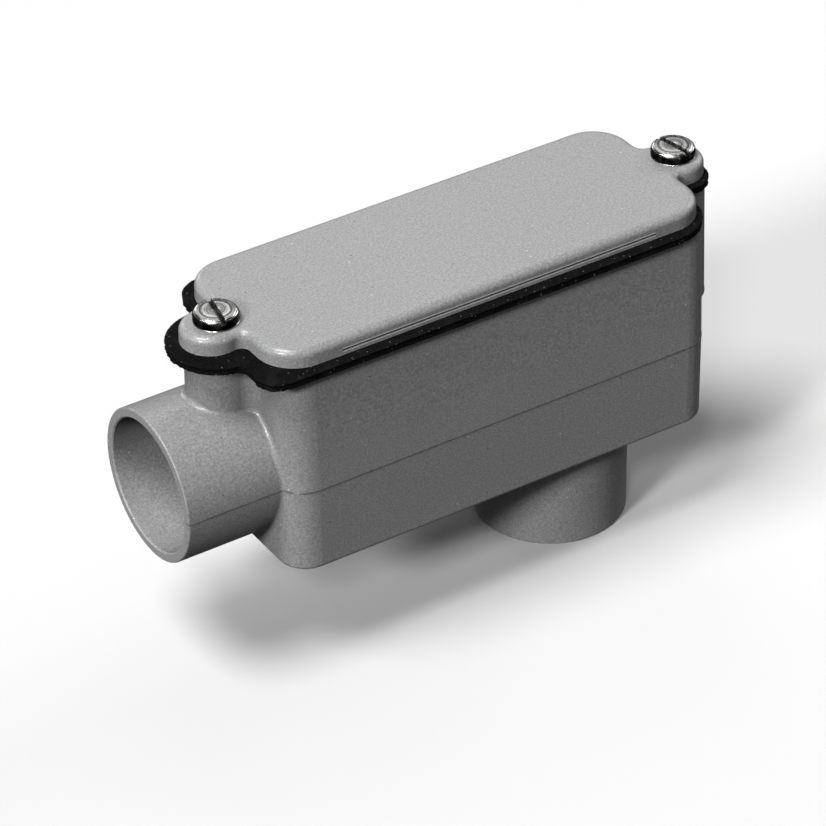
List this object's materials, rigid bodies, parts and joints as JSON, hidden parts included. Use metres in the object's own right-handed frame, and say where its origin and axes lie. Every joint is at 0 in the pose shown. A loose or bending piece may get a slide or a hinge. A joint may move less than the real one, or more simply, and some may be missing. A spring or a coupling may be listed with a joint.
{
  "type": "conduit body",
  "caption": "Right-angle conduit access fitting in grey plastic: socket hub at one end, socket hub at the back, foam gasket and a lift-off cover held by slotted screws.",
  "frame": {"origin": "centre of the back hub's mouth, where the conduit through the wall goes in", "axes": "+Z from the back hub towards the cover, -X out of the end hub, +Y across the width"},
  "size_m": [0.3452, 0.1099, 0.2004],
  "materials": {
    "housing_plastic": "moulded, fine satin",
    "cover_plastic": "moulded, fine satin",
    "gasket_foam": "closed-cell foam, cut edges",
    "screw_steel": "plated, bright"
  },
  "bodies": {
    "housing": {"housing": "housing_plastic", "gasket": "gasket_foam"},
    "cover": {"cover": "cover_plastic"},
    "screw_hub_end": {"screw_hub_end": "screw_steel"},
    "screw_far_end": {"screw_far_end": "screw_steel"}
  },
  "joints": [
    {"name": "cover_lift", "type": "slide", "parent": "housing", "child": "cover", "axis": [0, 0, 1], "range_m": [0, 0.06]},
    {"name": "screw_hub_end_turn", "type": "hinge", "parent": "cover", "child": "screw_hub_end", "pos_m": [-0.20255, 0, 0.1938], "axis": [0, 0, 1], "continuous": true},
    {"name": "screw_far_end_turn", "type": "hinge", "parent": "cover", "child": "screw_far_end", "pos_m": [0.07905, 0, 0.1938], "axis": [0, 0, 1], "continuous": true}
  ]
}
